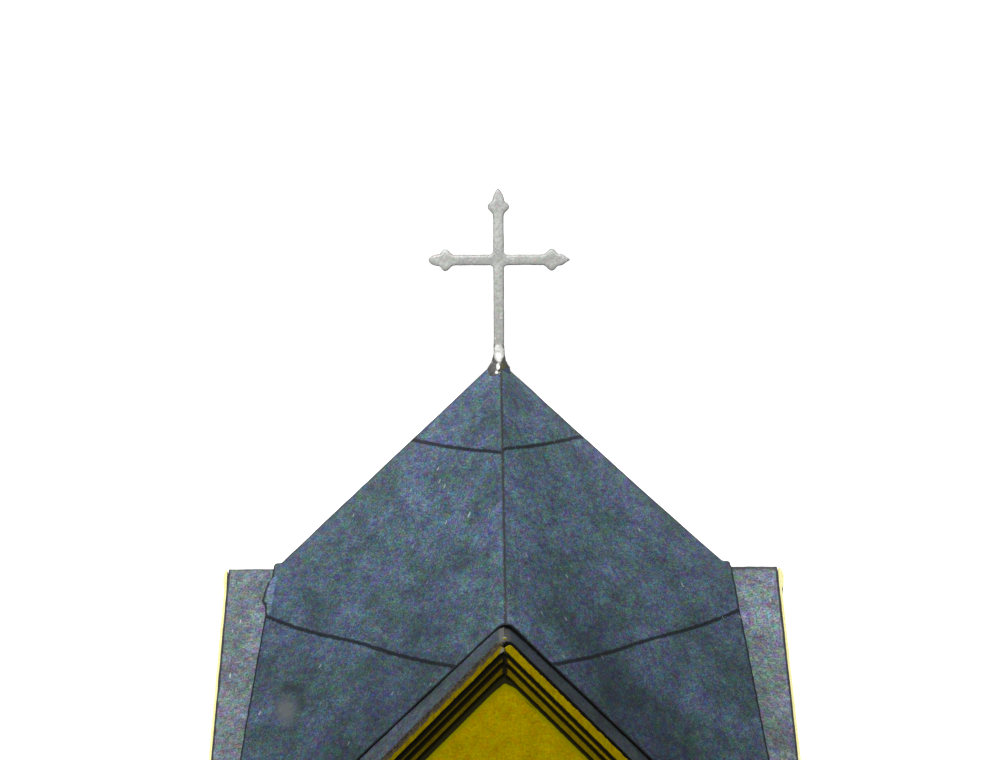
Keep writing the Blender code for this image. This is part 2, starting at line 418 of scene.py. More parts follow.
def yellowMaterial(name, blackBands, fringe=0.0):
    # blackBands are (start, end) depths under the hood's face, black for a printed line with a painted
    # shadow under the strip above; fringe is where a greener margin starts
    material, tree, shader = newMaterial(name)
    flat = printVector(tree)
    dots = noiseNode(tree, flat, 2.6, 2.0, 0.6)
    ochre = rampNode(tree, dots.outputs[0], 0.5, 0.74, 0.0, 0.6)
    colour = mixNode(tree, ochre, yellowPrint["yellow"], yellowPrint["ochre"])
    shadows = noiseNode(tree, printVector(tree, shift=(11.0, 5.0, 0.0)), 3.0, 2.0, 0.6)
    olive = rampNode(tree, shadows.outputs[0], 0.52, 0.74, 0.0, 0.5)
    colour = mixNode(tree, olive, colour, yellowPrint["olive"])
    colour = speckled(tree, colour, flat, ((3.4, 0.16),), ((1.0, 0.20), (7.5, 0.40)))
    depth = markNode(tree, "depth")
    if fringe > 0.0:
        near = rampNode(tree, depth, fringe, fringe + 0.38, 0.85, 0.0)
        colour = mixNode(tree, near, colour, yellowPrint["fringe"])
    chafe = mathNode(tree, "MULTIPLY", noiseNode(tree, flat, 2.4, 3.0).outputs[0], 0.7)
    worn = rampNode(tree, mathNode(tree, "ADD", markNode(tree, "wear"), chafe), 0.66, 0.92)
    colour = mixNode(tree, worn, colour, yellowPrint["worn"])
    line = stroke(tree, markNode(tree, "mitre"), 0.9, 0.5, flat, 0.2)
    for start, end in blackBands:
        away = mathNode(tree, "ABSOLUTE", mathNode(tree, "SUBTRACT", depth, 0.5 * (start + end)))
        line = mathNode(tree, "MAXIMUM", line, stroke(tree, away, 0.5 * (end - start), 0.06, flat, 0.03))
    colour = mixNode(tree, mathNode(tree, "MULTIPLY", line, 0.96), colour, yellowPrint["black"])
    if fringe > 0.0:
        parts = tree.nodes.new("ShaderNodeSeparateXYZ")
        tree.links.new(flat, parts.inputs[0])
        for level, start, end in yellowPrint["pencil"]:
            away = mathNode(tree, "ABSOLUTE", mathNode(tree, "SUBTRACT", depth, level))
            mark = stroke(tree, away, 0.016, 0.03, flat, 0.014)
            begun = rampNode(tree, parts.outputs[0], start, start + 0.1)
            mark = mathNode(tree, "MULTIPLY", mark, begun)
            ended = rampNode(tree, parts.outputs[0], end - 0.2, end, 0.6, 0.0)
            mark = mathNode(tree, "MULTIPLY", mark, ended)
            colour = mixNode(tree, mark, colour, (0.05, 0.05, 0.035, 1.0))
    colour = mixNode(tree, markNode(tree, "bare"), colour, yellowPrint["bare"])
    colour = mixNode(tree, 1.0, colour, markNode(tree, "shade"), "MULTIPLY")
    tree.links.new(colour, shader.inputs["Base Color"])
    shader.inputs["Roughness"].default_value = 0.7
    shader.inputs["Specular IOR Level"].default_value = 0.2
    addBump(tree, shader, noiseNode(tree, flat, 7.0, 3.0, 0.6).outputs[0], 0.3, 0.00003)
    return material


def fibreMaterial(name, dark, light, balance):
    # a cut or bare face of card: short fibres in two tones
    material, tree, shader = newMaterial(name)
    place = tree.nodes.new("ShaderNodeTexCoord").outputs["Object"]
    strands = noiseNode(tree, place, 9000.0, 2.0, 0.7)
    colour = mixNode(tree, rampNode(tree, strands.outputs[0], balance - 0.12, balance + 0.12), dark, light)
    colour = mixNode(tree, 1.0, colour, markNode(tree, "shade"), "MULTIPLY")
    tree.links.new(colour, shader.inputs["Base Color"])
    shader.inputs["Roughness"].default_value = 0.9
    shader.inputs["Specular IOR Level"].default_value = 0.15
    addBump(tree, shader, strands.outputs[0], 0.6, 0.00003)
    return material


roofSlate = slateMaterial("slate_roof", 0.11, (1.0, 1.0, 1.0))
# copies of the slate print for the hoods: the front and back ones darker and greyer as painted shade, the
# side ones much paler with more glints as a painted sheen
shadedHoodSlate = slateMaterial("slate_hood", 0.06, (0.95, 0.86, 0.78))
sheenHoodSlate = slateMaterial("slate_pale_hood", 0.24, (1.78, 1.50, 1.34))
bareCard = fibreMaterial("bare_card", (0.42, 0.41, 0.37, 1.0), (0.60, 0.585, 0.54, 1.0), 0.5)
inkedEdge = fibreMaterial("inked_edge", (0.011, 0.010, 0.010, 1.0), (0.11, 0.095, 0.08, 1.0), 0.66)
greyEdge = fibreMaterial("grey_edge", (0.055, 0.054, 0.05, 1.0), (0.20, 0.17, 0.13, 1.0), 0.52)
ochreEdge = fibreMaterial("ochre_edge", (0.10, 0.07, 0.02, 1.0), (0.34, 0.25, 0.10, 1.0), 0.5)
yellowEdge = fibreMaterial("yellow_edge", (0.52, 0.42, 0.02, 1.0), (0.78, 0.68, 0.14, 1.0), 0.5)
# the side fascias' top edges are painted nearly white yellow, a painted highlight where the light catches
# them
highlitYellowEdge = fibreMaterial("yellow_edge_painted_highlight", (0.93, 0.88, 0.38, 1.0), (1.0, 0.97, 0.62, 1.0), 0.45)
# the black bands are printed lines together with a painted shadow under the strip or hood above
fasciaYellow = yellowMaterial("yellow_fascia", ((0.66, 0.90),))
middleYellow = yellowMaterial("yellow_middle", ((0.40, 0.965), (1.12, 1.3)))
innerYellow = yellowMaterial("yellow_inner", ((0.90, 1.405), (1.68, 1.9)))
wallYellow = yellowMaterial("yellow_wall", ((1.20, 2.03),), 2.03)
print("card materials made")


# Roof sheets

roofSheet = {
    "steps": 148,
    "seat": {"front": 0.02, "right": 0.30, "back": 0.14, "left": 0.30},  # upper face over the hood at a peak
    "gain": {"front": (0.090, 0.065), "right": (0.05, 0.05), "back": (0.07, 0.06), "left": (0.05, 0.05)},
    "cornerSeat": 0.30,
    "cornerFrom": 8.0,
    "kick": 0.55,  # width of the margin that bends at a peak
    "kickGain": 1.4,
    "sag": 0.50,  # how far the middle sinks in
    "foldRound": 0.05,
    "foldWidth": 0.30,
    "bluntPeak": 0.24,  # how much flatter the front peak is pressed
    "ragged": 0.022,
    "crumple": 0.010,
    "apexShift": (-0.22, 0.17, -0.11),  # everywhere, more on the front fold, more on the left fold
    "frontPeak": 0.08,  # how far the front peak stands to the right
    "foldBow": (0.045, 0.085),  # how far the left and the right fold bow to the left
}


def edgeSeat(sideways, side, hand):
    # height of the sheet's edge over the hood's plane: seat and gain down the hood, then the corner's
    gain = roofSheet["gain"][side][0 if hand < 0 else 1]
    start = roofSheet["cornerFrom"]
    fade = smoothStep((sideways - start) / (tower["cornerReach"] - start))
    return (roofSheet["seat"][side] + gain * sideways) * (1.0 - fade) + roofSheet["cornerSeat"] * fade


def edgeStand(share, side, hand):
    # height of the lower edge over the plane through the folds, from a peak at 0 to the corner at 1
    sideways = share * tower["cornerReach"]
    outwards = tower["roofReach"] + tower["edgeLean"] * sideways
    hoodPlane = tower["ridgeHeight"] - tower["apexHeight"] - tower["hoodFall"] * sideways
    return hoodPlane + edgeSeat(sideways, side, hand) + tower["foldFall"] * (outwards + sideways)


def edgeMargin(shareAcross, shareDown):
    # 0 in the sheet, 1 on its edge: a narrow margin at the peak that widens down the edge
    width = roofSheet["kick"] + roofSheet["kickGain"] * shareDown * tower["cornerReach"]
    width = np.minimum(width, tower["roofReach"])
    return smoothStep(1.0 - (1.0 - shareAcross) * tower["roofReach"] / width)


def roofSurface(p, q, shareP, shareQ, quarters, seed):
    # plane through the folds, raised to its lower edges, sunk in its middle and rounded at its folds
    sideQ, sideP = sideNames[quarters], sideNames[(quarters + 1) % 4]
    marginP = edgeMargin(shareP, shareQ)
    marginQ = edgeMargin(shareQ, shareP)
    corner = 0.5 * (edgeStand(1.0, sideP, -1) + edgeStand(1.0, sideQ, 1))
    rise = marginP * edgeStand(shareQ, sideP, -1) + marginQ * edgeStand(shareP, sideQ, 1)
    rise -= marginP * marginQ * corner
    height = tower["apexHeight"] - tower["foldFall"] * (p + q) + rise
    points = np.stack([p, -q, height], axis=-1)
    normal = np.array([tower["foldFall"], -tower["foldFall"], 1.0])
    normal /= np.linalg.norm(normal)
    bowl = 16.0 * shareP * (1.0 - shareP) * shareQ * (1.0 - shareQ)
    shoulder = (1.0 - np.clip(1.2 * np.minimum(p, q) / roofSheet["foldWidth"], 0.0, 1.0)) ** 2
    sink = roofSheet["sag"] * bowl + roofSheet["foldRound"] * shoulder
    crumple = roofSheet["crumple"] * (wander(points, 2.4, seed) + 0.35 * wander(points, 0.5, seed + 1))
    points = points - normal * (sink - crumple)[..., None]
    nearFront = (p if quarters == 3 else q) * (quarters in (0, 3))
    fromFold = q if quarters == 3 else p
    blunt = (1.0 - np.clip(fromFold / 0.5, 0.0, 1.0)) ** 2 * smoothStep((nearFront - 12.5) / 2.5)
    points[..., 2] -= roofSheet["bluntPeak"] * blunt
    return points


def leanApex(points):
    # moves the apex sideways, fading down to the peaks, by a different amount on each fold, and bows the
    # side folds
    base, front, left = roofSheet["apexShift"]
    leftBow, rightBow = roofSheet["foldBow"]
    reach = np.hypot(points[..., 0], points[..., 1]) + 1e-6
    onFront = np.clip(-points[..., 1] / reach, 0.0, 1.0) ** 2
    onLeft = np.clip(-points[..., 0] / reach, 0.0, 1.0) ** 2
    onRight = np.clip(points[..., 0] / reach, 0.0, 1.0) ** 2
    drop = tower["apexHeight"] - points[..., 2]
    share = np.clip(1.0 - drop / (tower["roofReach"] * tower["foldFall"]), 0.0, 1.0)
    low = (1.0 - share) ** 2
    moved = points.copy()
    moved[..., 0] += (base + front * onFront + left * onLeft) * share
    moved[..., 0] -= 4.0 * low * (1.0 - low) * (leftBow * onLeft + rightBow * onRight)
    moved[..., 0] += roofSheet["frontPeak"] * onFront**4 * (1.0 - share)
    return moved


splinter = {  # a torn strip along the left gable's edge: distance from the peak, and how far it stands out
    "place": (0.85, 1.03, 1.59, 2.13, 2.22, 2.60, 2.90),
    "reach": (0.0, 0.20, 0.32, 0.43, 0.19, 0.08, 0.0),
}
glueSpots = (  # mark, distance from the front fold's plane, drop from the apex, their radii
    ("smudge", 13.55, 21.45, 0.62, 0.62),
    ("smear", 13.35, 20.25, 0.75, 0.28),
    ("smear", 12.6, 20.9, 0.26, 0.50),
)
ringBow = 0.33  # how far the lower ring sags between two folds
# painted shade on the roof sheets: darker towards the foot of a gable and down the slope, lighter at the
# apex
paintedRoofShade = {  # share of light lost towards the foot of a gable, brightness at the apex and at the foot
    "left_front": (0.30, 1.16, 0.86),
    "front_right": (0.50, 1.16, 0.88),
    "right_back": (0.40, 1.12, 0.90),
    "back_left": (0.35, 1.12, 0.90),
}


def roofMesh(name, node, quarters, seed):
    shares = np.linspace(0.0, 1.0, roofSheet["steps"])
    shareP, shareQ = np.meshgrid(shares, shares, indexing="ij")
    spread = tower["cornerReach"] - tower["roofReach"]
    p = shareP * (tower["roofReach"] + spread * shareQ)
    q = shareQ * (tower["roofReach"] + spread * shareP)
    outer = roofSurface(p, q, shareP, shareQ, quarters, seed)
    endP = smoothStep((shareP - 0.975) / 0.025)
    endQ = smoothStep((shareQ - 0.975) / 0.025)
    outer[..., 0] += endP * roofSheet["ragged"] * ragged(q, seed + 2)
    outer[..., 1] -= endQ * roofSheet["ragged"] * ragged(p, seed + 3)
    torn = np.interp(p, splinter["place"], splinter["reach"]) * (quarters == 3)
    outer[..., 1] -= endQ * torn
    inner = outer - gridNormals(outer, np.array([1.0, -1.0, 1.0])) * tower["card"]
    for face in (outer, inner):
        face[..., 0] = np.maximum(face[..., 0], tower["gap"])
        face[..., 1] = np.minimum(face[..., 1], -tower["gap"])
    steep = math.sqrt(0.5 + tower["foldFall"] ** 2)
    uv = np.stack([(p - q) / math.sqrt(2.0) + 40.0 * quarters, (p + q) * steep], axis=-1)
    edgeAway = np.minimum(1.0 - shareP, 1.0 - shareQ) * tower["roofReach"]
    toGable, toSide = (shareQ, shareP) if quarters % 2 == 0 else (shareP, shareQ)
    # painted shade: light lost towards the foot of a gable, and a fade from bright at the apex to darker at
    # the foot
    lost, top, foot = paintedRoofShade[node[5:]]
    shade = smoothStep((toGable - 0.6 * toSide - 0.2) / 0.45) * smoothStep(toSide / 0.4)
    drop = tower["foldFall"] * (p + q)
    fade = top + (foot - top) * smoothStep((drop - 6.0) / 18.0)
    between = 1.0 - np.clip((p - q) / (0.68 * (p + q) + 1e-6), -1.0, 1.0) ** 2
    # the torn flap along the left gable gets a painted highlight, half again as bright, and a little wear
    flap = (edgeAway < 0.34) * (torn > 0.02) * smoothStep((1.0 - shareP) * 10.0)
    marks = {
        "foldDistance": 1.2 * np.minimum(p, q),
        "ringDrop": drop - ringBow * between * (drop / 16.7) ** 2 - (0.10 if quarters == 3 else -0.08),
        "cutDistance": edgeAway,
        "wear": 0.10 * flap,
        "shade": (1.0 - lost * shade) * fade * (1.0 + 0.55 * flap),
        "smudge": np.zeros_like(p),
        "smear": np.zeros_like(p),
    }
    if quarters == 3:
        for mark, centreQ, centreDrop, radiusQ, radiusDrop in glueSpots:
            away = ((q - centreQ) / radiusQ) ** 2 + ((drop - centreDrop) / radiusDrop) ** 2
            marks[mark] = np.maximum(marks[mark], np.exp(-(away**1.3)))
    outer = leanApex(quarterTurned(outer, quarters))
    inner = leanApex(quarterTurned(inner, quarters))
    return cardMesh(name, outer, inner, (roofSlate, bareCard, inkedEdge), uv, marks, seed)


for quarters, side in enumerate(sideNames):
    node = "roof_" + side + "_" + sideNames[(quarters + 1) % 4]
    mesh = roofMesh(node + "_sheet", node, quarters, 100 + 10 * quarters)
    addPiece(node + "_sheet", mesh, "slate_print", node)
print("roof sheets made")


# Hoods

hood = {
    "rowsAlong": 170,
    "rowsAcross": 36,
    "tuck": 0.8,  # how far a hood runs in under the roof sheet
    "underEdge": 0.155,  # the hood's face lies this far under the edge of the sheet
    "peakGap": {"front": (0.0, 0.09), "right": (0.15, 0.15), "back": (0.05, 0.05), "left": (0.15, 0.15)},
    "droop": {"front": 0.15, "right": 0.0, "back": 0.08, "left": 0.0},  # of the outer edge
    "ridgeRound": {"front": 0.40, "right": 0.05, "back": 0.20, "left": 0.05},
    "ridgeWidth": {"front": 0.60, "right": 0.35, "back": 0.50, "left": 0.35},
    "ragged": 0.022,
    "wear": {"front": 0.90, "right": 0.30, "back": 0.5, "left": 0.30},
    "wearWidth": 0.40,
    "reach": {"front": 0.0, "right": 0.21, "back": 0.0, "left": 0.16},  # past the solid hood's edge
    # width of the dark line on a ridge
    "ridgeLine": {"front": 0.0, "right": 0.20, "back": 0.06, "left": 0.07},
    "shade": {"front": (1.0, 1.0), "right": (1.14, 0.88), "back": (1.0, 0.9), "left": (1.02, 0.92)},
    # light left on the right-hand slope
    "rightHand": {"front": 0.62, "right": 1.0, "back": 0.9, "left": 1.0},
}


def hoodMesh(name, sideName, hand, seed):
    # a slope that falls sideways from the ridge, from under the roof sheet out to the cut edge: it lies
    # just under the sheet's edge there and droops a little at the cut edge, and meets the next in a mitre
    side = sideNames.index(sideName)
    along = np.linspace(0.0, 1.0, hood["rowsAlong"]) ** 1.2
    across = np.linspace(0.0, 1.0, hood["rowsAcross"])
    shareS, shareD = np.meshgrid(along, across, indexing="ij")
    start = tower["roofReach"] - hood["tuck"]
    reach = tower["hoodReach"] + hood["reach"][sideName]
    cornerLean = 1.0 - (1.0 - shareD) * tower["edgeLean"]
    limit = ((1.0 - shareD) * start + shareD * reach) / cornerLean
    s = shareS * limit
    d = (1.0 - shareD) * (start + tower["edgeLean"] * s) + shareD * reach
    boundary = tower["roofReach"] + tower["edgeLean"] * s
    outward = 1.0 - np.clip((reach - d) / (reach - boundary), 0.0, 1.0)
    open = hood["peakGap"][sideName][0 if hand < 0 else 1] * (1.0 - smoothStep(s / 1.7))
    rise = edgeSeat(s, sideName, hand) - hood["underEdge"] - open
    droop = hood["droop"][sideName] * (1.0 - smoothStep((s - 8.0) / 8.0))
    shoulder = (1.0 - np.clip(s / hood["ridgeWidth"][sideName], 0.0, 1.0)) ** 2
    shoulder = shoulder * hood["ridgeRound"][sideName] * (0.7 + 0.3 * outward)
    d = d + smoothStep((shareD - 0.9) / 0.1) * hood["ragged"] * ragged(s, seed)
    s = np.clip(s, tower["gap"], d - tower["gap"])
    height = tower["ridgeHeight"] - tower["hoodFall"] * s - shoulder
    height = height + rise * (1.0 - outward) - droop * outward
    outer = np.stack([hand * s, -d, height], axis=-1)
    outer[..., 2] += 0.010 * wander(outer, 1.8, seed + 1) + 0.004 * wander(outer, 0.4, seed + 2)
    inner = outer - gridNormals(outer, np.array([hand, 0.0, 1.0])) * tower["card"]
    inner[..., 0] = hand * np.maximum(hand * inner[..., 0], tower["gap"])
    uv = np.stack([d + 60.0 + 9.0 * side, hand * s * tower["slant"]], axis=-1)
    cutAway = (1.0 - shareD) * (reach - start)
    plain = sideName == "front" and hand < 0
    top, foot = hood["shade"][sideName]
    light = top + (foot - top) * smoothStep(s / 12.0)
    if hand > 0:
        light = light * hood["rightHand"][sideName]
    ridgeLine = max(hood["ridgeLine"][sideName], 0.001)
    marks = {
        "foldDistance": np.minimum(s * slatePrint["foldWidth"] / ridgeLine, 9.0),
        "ringDrop": np.full_like(s, 99.0),
        "cutDistance": np.full_like(s, 9.0) if plain else cutAway,
        "wear": np.exp(-((s / hood["wearWidth"]) ** 2)) * hood["wear"][sideName],
        "shade": light,
        "smudge": np.zeros_like(s),
        "smear": np.zeros_like(s),
    }
    # the side gables' hoods take the copy with painted sheen, the front and back ones the copy with painted
    # shade
    face = sheenHoodSlate if side % 2 else shadedHoodSlate
    outer, inner = quarterTurned(outer, side), quarterTurned(inner, side)
    return cardMesh(name, outer, inner, (face, bareCard, greyEdge if plain else inkedEdge), uv, marks, seed)


# Cornice strips

cornice = {
    "rowsAlong": 260,
    "rowsDown": 7,
    "sideCard": 0.17,  # thickness of a side gable's fascia
    "sideStand": {"right": 0.20, "left": 0.14},  # how far it stands past the solid one
    "tipCurl": {"right": 0.17, "left": 0.07},  # how far its upper end swells
    "tipLength": 0.95,
    "ragged": 0.030,
    "blunt": 0.36,  # how far a front strip is cut down at its peak
    "bluntWidth": 0.45,
}
strips = {  # depths under the hood's face, square to its slope
    "fascia": {"top": 0.27, "foot": 0.67, "face": fasciaYellow, "edge": yellowEdge, "mitre": 0.04},
    "middle_strip": {"top": 0.30, "foot": 1.12, "face": middleYellow, "edge": inkedEdge, "mitre": 0.16},
    "inner_strip": {"top": 0.30, "foot": 1.66, "face": innerYellow, "edge": inkedEdge, "mitre": 0.16},
}
# light left on the strips of the left and the right slope, and how far their feet are set lower
stripLight = {"fascia": (0.70, 0.86), "middle_strip": (0.22, 0.60), "inner_strip": (0.30, 0.48)}
stripSlip = {"front": (-0.055, 0.045), "right": (0.02, -0.01), "back": (0.03, -0.03), "left": (-0.02, 0.015)}


def stripMesh(name, kind, sideName, hand, seed):
    # a band of card that follows the hood's slope at a steady depth, upright in the plane of its gable,
    # cut level at its foot and mitred with the next gable's band
    side = sideNames.index(sideName)
    strip = strips[kind]
    along = np.linspace(0.0, 1.0, cornice["rowsAlong"]) ** 1.25
    down = np.linspace(0.0, 1.0, cornice["rowsDown"])
    shareS, shareT = np.meshgrid(along, down, indexing="ij")
    reach = frontReach("front_" + kind + "_left")
    isFascia = kind == "fascia"
    wornOne = isFascia and sideName == "front" and hand < 0
    standing = isFascia and side % 2 == 1
    outermost = reach + (cornice["sideStand"][sideName] if standing else 0.0)
    card = cornice["sideCard"] if standing else tower["card"]
    foot = strip["foot"] + stripSlip[sideName][0 if hand < 0 else 1]
    rough = cornice["ragged"] * (1.0 if isFascia else 0.4)
    faces = []
    for d, swelling in ((outermost, 1.0), (outermost - card, 0.0)):
        s = tower["gap"] + shareS * (d - 3.0 * tower["gap"])
        depth = strip["top"] + shareT * (foot - strip["top"])
        depth = depth + rough * ragged(s, seed, 0.45) * (1.0 - shareT)
        depth = depth + 0.35 * rough * ragged(s, seed + 4, 0.6) * shareT
        blunt = (1.0 - np.clip(s / cornice["bluntWidth"], 0.0, 1.0)) ** 2
        depth = depth + cornice["blunt"] * blunt * (sideName == "front") * (1.0 - 0.7 * shareT)
        outwards = d + 0.0 * s
        if standing:
            tip = np.clip(1.0 - s / cornice["tipLength"], 0.0, 1.0)
            swell = cornice["tipCurl"][sideName] * np.sin(np.pi * tip) * (1.0 - 0.4 * shareT)
            outwards = outwards + swelling * swell
            depth = depth - 0.20 * smoothStep(tip * 1.6) * (1.0 - shareT)
        height = tower["ridgeHeight"] - tower["hoodFall"] * s - depth * tower["slant"]
        height = np.maximum(height, tower["stripFoot"] + 0.06 * (1.0 - shareT))
        points = np.stack([hand * s, -outwards, height], axis=-1)
        points[..., 1] += 0.006 * wander(points, 1.2, seed + 9)
        faces.append(points)
    uv = np.stack([s * tower["slant"] + 20.0 * side + 7.0 * hand, depth], axis=-1)
    light = stripLight[kind][0 if hand < 0 else 1]
    if sideName != "front":
        light = 0.5 * (light + stripLight[kind][1])
    marks = {
        "depth": depth,
        "mitre": s / strip["mitre"],
        "wear": np.full_like(s, 0.36 if wornOne else 0.08),
        "bare": np.zeros_like(s),
        "shade": np.full_like(s, 1.0 if standing else light),
    }
    if wornOne:
        marks["bare"] = np.exp(-(((s - 0.14) / 0.15) ** 2) - ((depth - 0.60) / 0.13) ** 2)
        marks["wear"] = 0.30 + 0.25 * smoothStep((0.48 - depth) / 0.2)
    edge = strip["edge"]
    if wornOne:
        edge = ochreEdge
    elif standing:
        # the standing side fascias get the edge with a painted highlight
        edge = highlitYellowEdge
    faces = [quarterTurned(face, side) for face in faces]
    return cardMesh(name, faces[0], faces[1], (strip["face"], bareCard, edge), uv, marks, seed)


# Gable walls

gableWall = {"columns": 110, "rows": 36, "topDepth": 0.27, "buckle": 0.02, "lean": 0.06, "roundTip": 0.14}


def wallMesh(name, sideName, seed):
    # an upright sheet whose height at x is the hood's height there less the depth of its top
    side = sideNames.index(sideName)
    across = np.linspace(-1.0, 1.0, gableWall["columns"])
    across = np.sign(across) * np.abs(across) ** 1.2
    up = np.linspace(0.0, 1.0, gableWall["rows"])
    shareX, shareZ = np.meshgrid(across, up, indexing="ij")
    reach = frontReach("front_gable_wall")
    faces = []
    for d in (reach, reach - tower["card"]):
        x = shareX * (d - 2.0 * tower["gap"])
        top = tower["ridgeHeight"] - tower["hoodFall"] * np.abs(x) - gableWall["topDepth"] * tower["slant"]
        z = shareZ * top
        inside = (1.0 - shareX**2) * shareZ * (1.0 - shareZ) * 4.0
        y = -d + gableWall["buckle"] * inside * wander(np.stack([x, x * 0.0, z], axis=-1), 6.0, seed)
        faces.append(np.stack([x, y, z], axis=-1))
    depth = (tower["ridgeHeight"] - tower["hoodFall"] * np.abs(x) - z) / tower["slant"]
    depth = depth + gableWall["lean"] * np.clip(x / 0.5, -1.0, 1.0)
    depth = depth - gableWall["roundTip"] * np.exp(-((x / 0.4) ** 2))
    uv = np.stack([x + 40.0 * side, z], axis=-1)
    marks = {"depth": depth, "mitre": np.full_like(x, 9.0), "shade": np.ones_like(x)}
    marks.update({"wear": np.zeros_like(x), "bare": np.zeros_like(x)})
    faces = [quarterTurned(face, side) for face in faces]
    return cardMesh(name, faces[0], faces[1], (wallYellow, bareCard, bareCard), uv, marks, seed)


for side, sideName in enumerate(sideNames):
    for hand, word in ((-1, "left"), (1, "right")):
        seed = 300 + 40 * side + 20 * (hand > 0)
        node = sideName + "_hood_" + word
        addPiece(node + "_card", hoodMesh(node + "_card", sideName, hand, seed), "slate_print", node)
        for number, kind in enumerate(strips):
            node = sideName + "_" + kind + "_" + word
            mesh = stripMesh(node + "_card", kind, sideName, hand, seed + 3 * number + 1)
            addPiece(node + "_card", mesh, "yellow_print", node)
    node = sideName + "_gable_wall"
    addPiece(node + "_card", wallMesh(node + "_card", sideName, 600 + side), "yellow_print", node)
print("hoods, cornices and walls made")


# Cross

crossSize = {
    "shift": -0.17,  # the shaft stands a little to one side of the axis
    "centre": 6.45,  # over the apex
    "bar": 0.335,
    "fillet": 0.25,
    "half": 0.15,  # half its thickness
    "foot": 7.55,
    "voxel": 0.030,
    "squareness": 3.4,
}
crossBud = (  # distance from the middle and half width: bar, side lobes and neck of each end
    (2.80, 0.335), (2.92, 0.350), (3.06, 0.425), (3.22, 0.590), (3.33, 0.675), (3.44, 0.700), (3.56, 0.670),
    (3.67, 0.570), (3.76, 0.430), (3.84, 0.380),
)
crossTips = {  # distance and half width from the neck to the tip
    "up": ((3.95, 0.365), (4.16, 0.305), (4.32, 0.235), (4.44, 0.160), (4.52, 0.100), (4.60, 0.025)),
    "left": ((3.95, 0.370), (4.12, 0.350), (4.26, 0.300), (4.37, 0.225), (4.45, 0.150), (4.51, 0.050)),
    "right": ((3.98, 0.375), (4.12, 0.345), (4.26, 0.260), (4.40, 0.160), (4.52, 0.080), (4.64, 0.020)),
}


def armHalf(t, tip):
    # half the width of an arm at t from the middle: the bar with a fillet at its root, then the bud's
    # outline as a smooth line through its points
    fillet = crossSize["fillet"]
    into = np.clip(crossSize["bar"] + fillet - t, 0.0, fillet)
    half = crossSize["bar"] + fillet - np.sqrt(fillet**2 - into**2)
    outline = np.array(crossBud + crossTips[tip])
    fine = np.linspace(outline[0, 0], outline[-1, 0], 400)
    width = np.interp(fine, outline[:, 0], outline[:, 1])
    weights = np.hanning(17)
    padded = np.concatenate([np.full(8, width[0]), width, width[-1] - (fine[1:9] - fine[0])])
    width = np.convolve(padded, weights / weights.sum(), "valid")
    return np.where(t < outline[0, 0], half, np.maximum(np.interp(t, fine, width), 0.012))


def barSurface(t, halfWidth, turns):
    # rounded oblong sections carried along a bar
    angle = np.linspace(0.0, 2.0 * np.pi, turns, endpoint=False)
    power = 2.0 / crossSize["squareness"]
    sideways = np.sign(np.cos(angle)) * np.abs(np.cos(angle)) ** power
    depthways = np.sign(np.sin(angle)) * np.abs(np.sin(angle)) ** power
    depth = np.minimum(crossSize["half"], 1.2 * halfWidth)
    rings = [halfWidth[:, None] * sideways, depth[:, None] * depthways, np.repeat(t[:, None], turns, axis=1)]
    return np.stack(rings, axis=-1)


def tubeFaces(rows, turns, start):
    index = start + np.arange(rows * turns).reshape(rows, turns)
    after = np.roll(index, -1, axis=1)
    sides = np.stack([index[:-1], after[:-1], after[1:], index[1:]], axis=-1).reshape(-1, 4)
    return sides.tolist() + [index[0, ::-1].tolist(), index[-1].tolist()]


def crossMesh():
    # two bars melted into one skin, then roughened like brushed paint
    turns = 40
    tUp = np.linspace(-crossSize["foot"], crossTips["up"][-1][0], 560)
    upHalf = np.where(tUp > -1.0, armHalf(np.abs(tUp), "up"), crossSize["bar"])
    upright = barSurface(tUp, upHalf, turns)
    tSide = np.linspace(-crossTips["left"][-1][0], crossTips["right"][-1][0], 480)
    beam = barSurface(tSide, np.where(tSide < 0.0, armHalf(-tSide, "left"), armHalf(tSide, "right")), turns)
    beam = np.stack([beam[..., 2], beam[..., 1], -beam[..., 0]], axis=-1)
    rough = bpy.data.meshes.new("cross_rough")
    points = np.concatenate([upright.reshape(-1, 3), beam.reshape(-1, 3)])
    faces = tubeFaces(len(tUp), turns, 0) + tubeFaces(len(tSide), turns, len(tUp) * turns)
    rough.from_pydata(points.tolist(), [], faces)
    helper = bpy.data.objects.new("cross_rough", rough)
    bpy.context.scene.collection.objects.link(helper)
    melt = helper.modifiers.new("melt", "REMESH")
    melt.mode = "VOXEL"
    melt.voxel_size = crossSize["voxel"]
    soften = helper.modifiers.new("soften", "SMOOTH")
    soften.factor = 0.5
    soften.iterations = 4
    graph = bpy.context.evaluated_depsgraph_get()
    mesh = bpy.data.meshes.new_from_object(helper.evaluated_get(graph))
    bpy.data.objects.remove(helper, do_unlink=True)
    bpy.data.meshes.remove(rough)
    mesh.name = "cross_painted"
    points = np.empty(len(mesh.vertices) * 3, np.float32)
    normals = np.empty(len(mesh.vertices) * 3, np.float32)
    mesh.vertices.foreach_get("co", points)
    mesh.vertex_normals.foreach_get("vector", normals)
    points = points.reshape(-1, 3).astype(float)
    bumps = 0.004 * wander(points, 0.25, 41) + 0.008 * wander(points, 1.3, 43)
    points += normals.reshape(-1, 3) * bumps[:, None]
    points += np.array([crossSize["shift"], 0.0, tower["apexHeight"] + crossSize["centre"]])
    mesh.vertices.foreach_set("co", (points * millimetre).astype(np.float32).ravel())
    mesh.update()
    mesh.shade_smooth()
    mesh.materials.clear()
    mesh.materials.append(silverMaterial())
    return mesh


